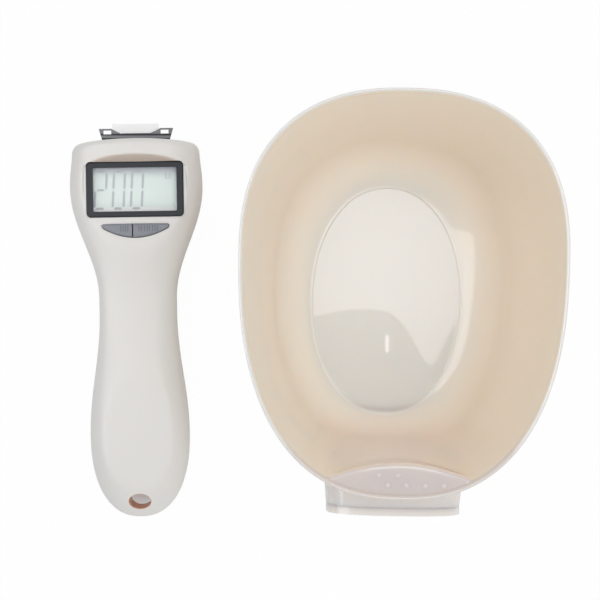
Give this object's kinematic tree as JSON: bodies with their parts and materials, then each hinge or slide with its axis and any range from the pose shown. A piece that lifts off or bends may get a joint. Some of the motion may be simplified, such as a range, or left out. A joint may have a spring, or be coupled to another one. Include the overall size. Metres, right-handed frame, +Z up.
{
  "type": "digital kitchen scale",
  "caption": "Hand-held scoop scale: a handle with display, keys, weighing cell and battery bay, beside a deep egg-shaped bowl whose collar plugs onto the handle.",
  "frame": {"origin": "on the table, under the middle of the handle and bowl lying side by side", "axes": "+X from the handle to the bowl, +Y along the handle towards its head, +Z up"},
  "size_m": [0.1704, 0.1483, 0.057],
  "materials": {
    "shell_plastic": "satin",
    "bowl_plastic": "gloss",
    "bezel_plastic": "semi gloss",
    "clear_window": "clear",
    "lcd": "gloss",
    "segment_ink": "matte",
    "key_plastic": "satin",
    "white_plastic": "matte",
    "contact_rubber": "matte",
    "board": "satin",
    "component": "matte",
    "steel": "brushed",
    "spring_steel": "bright",
    "cell_aluminium": "milled",
    "gauge_film": "matte",
    "battery_sleeve": "gloss",
    "wire": "satin"
  },
  "bodies": {
    "handle": {"front_shell": "shell_plastic", "rear_shell": "shell_plastic", "case_screws": "steel", "display_bezel": "bezel_plastic", "display_window": "clear_window", "lcd_glass": "lcd", "lcd_segments": "segment_ink", "reflector": "white_plastic", "contact_strips": "contact_rubber", "main_board": "board", "board_screws": "steel", "measuring_chip": "component", "board_components": "component", "switch_cases": "component", "load_cell": "cell_aluminium", "strain_gauges": "gauge_film", "gauge_leads": "wire", "cell_screws": "steel", "bracket_screws": "steel", "bracket": "steel", "left_battery": "battery_sleeve", "right_battery": "battery_sleeve", "contact_positive": "spring_steel", "contact_negative": "spring_steel", "contact_bridge": "spring_steel", "battery_tray": "white_plastic", "battery_leads": "wire"},
    "power_key": {"power_key": "key_plastic", "power_plunger": "white_plastic"},
    "unit_key": {"unit_key": "key_plastic", "unit_plunger": "white_plastic"},
    "battery_door": {"battery_door": "shell_plastic"},
    "scoop": {"scoop_bowl": "bowl_plastic", "socket_plate": "bowl_plastic", "socket_clip": "spring_steel", "plate_screws": "steel"}
  },
  "joints": [
    {"name": "power_key_press", "type": "slide", "parent": "handle", "child": "power_key", "axis": [0, 0, -1], "range_m": [0, 0.0005], "stiffness_N_per_m": 400},
    {"name": "unit_key_press", "type": "slide", "parent": "handle", "child": "unit_key", "axis": [0, 0, -1], "range_m": [0, 0.0005], "stiffness_N_per_m": 400},
    {"name": "battery_door_hinge", "type": "hinge", "parent": "handle", "child": "battery_door", "pos_m": [-0.0605, -0.00919, 0], "axis": [0.9999, 0.0157, 0], "range_deg": [0, 40]},
    {"name": "scoop_slide", "type": "slide", "parent": "handle", "child": "scoop", "axis": [0.0175, 0.9998, 0], "range_m": [0, 0.13]}
  ]
}
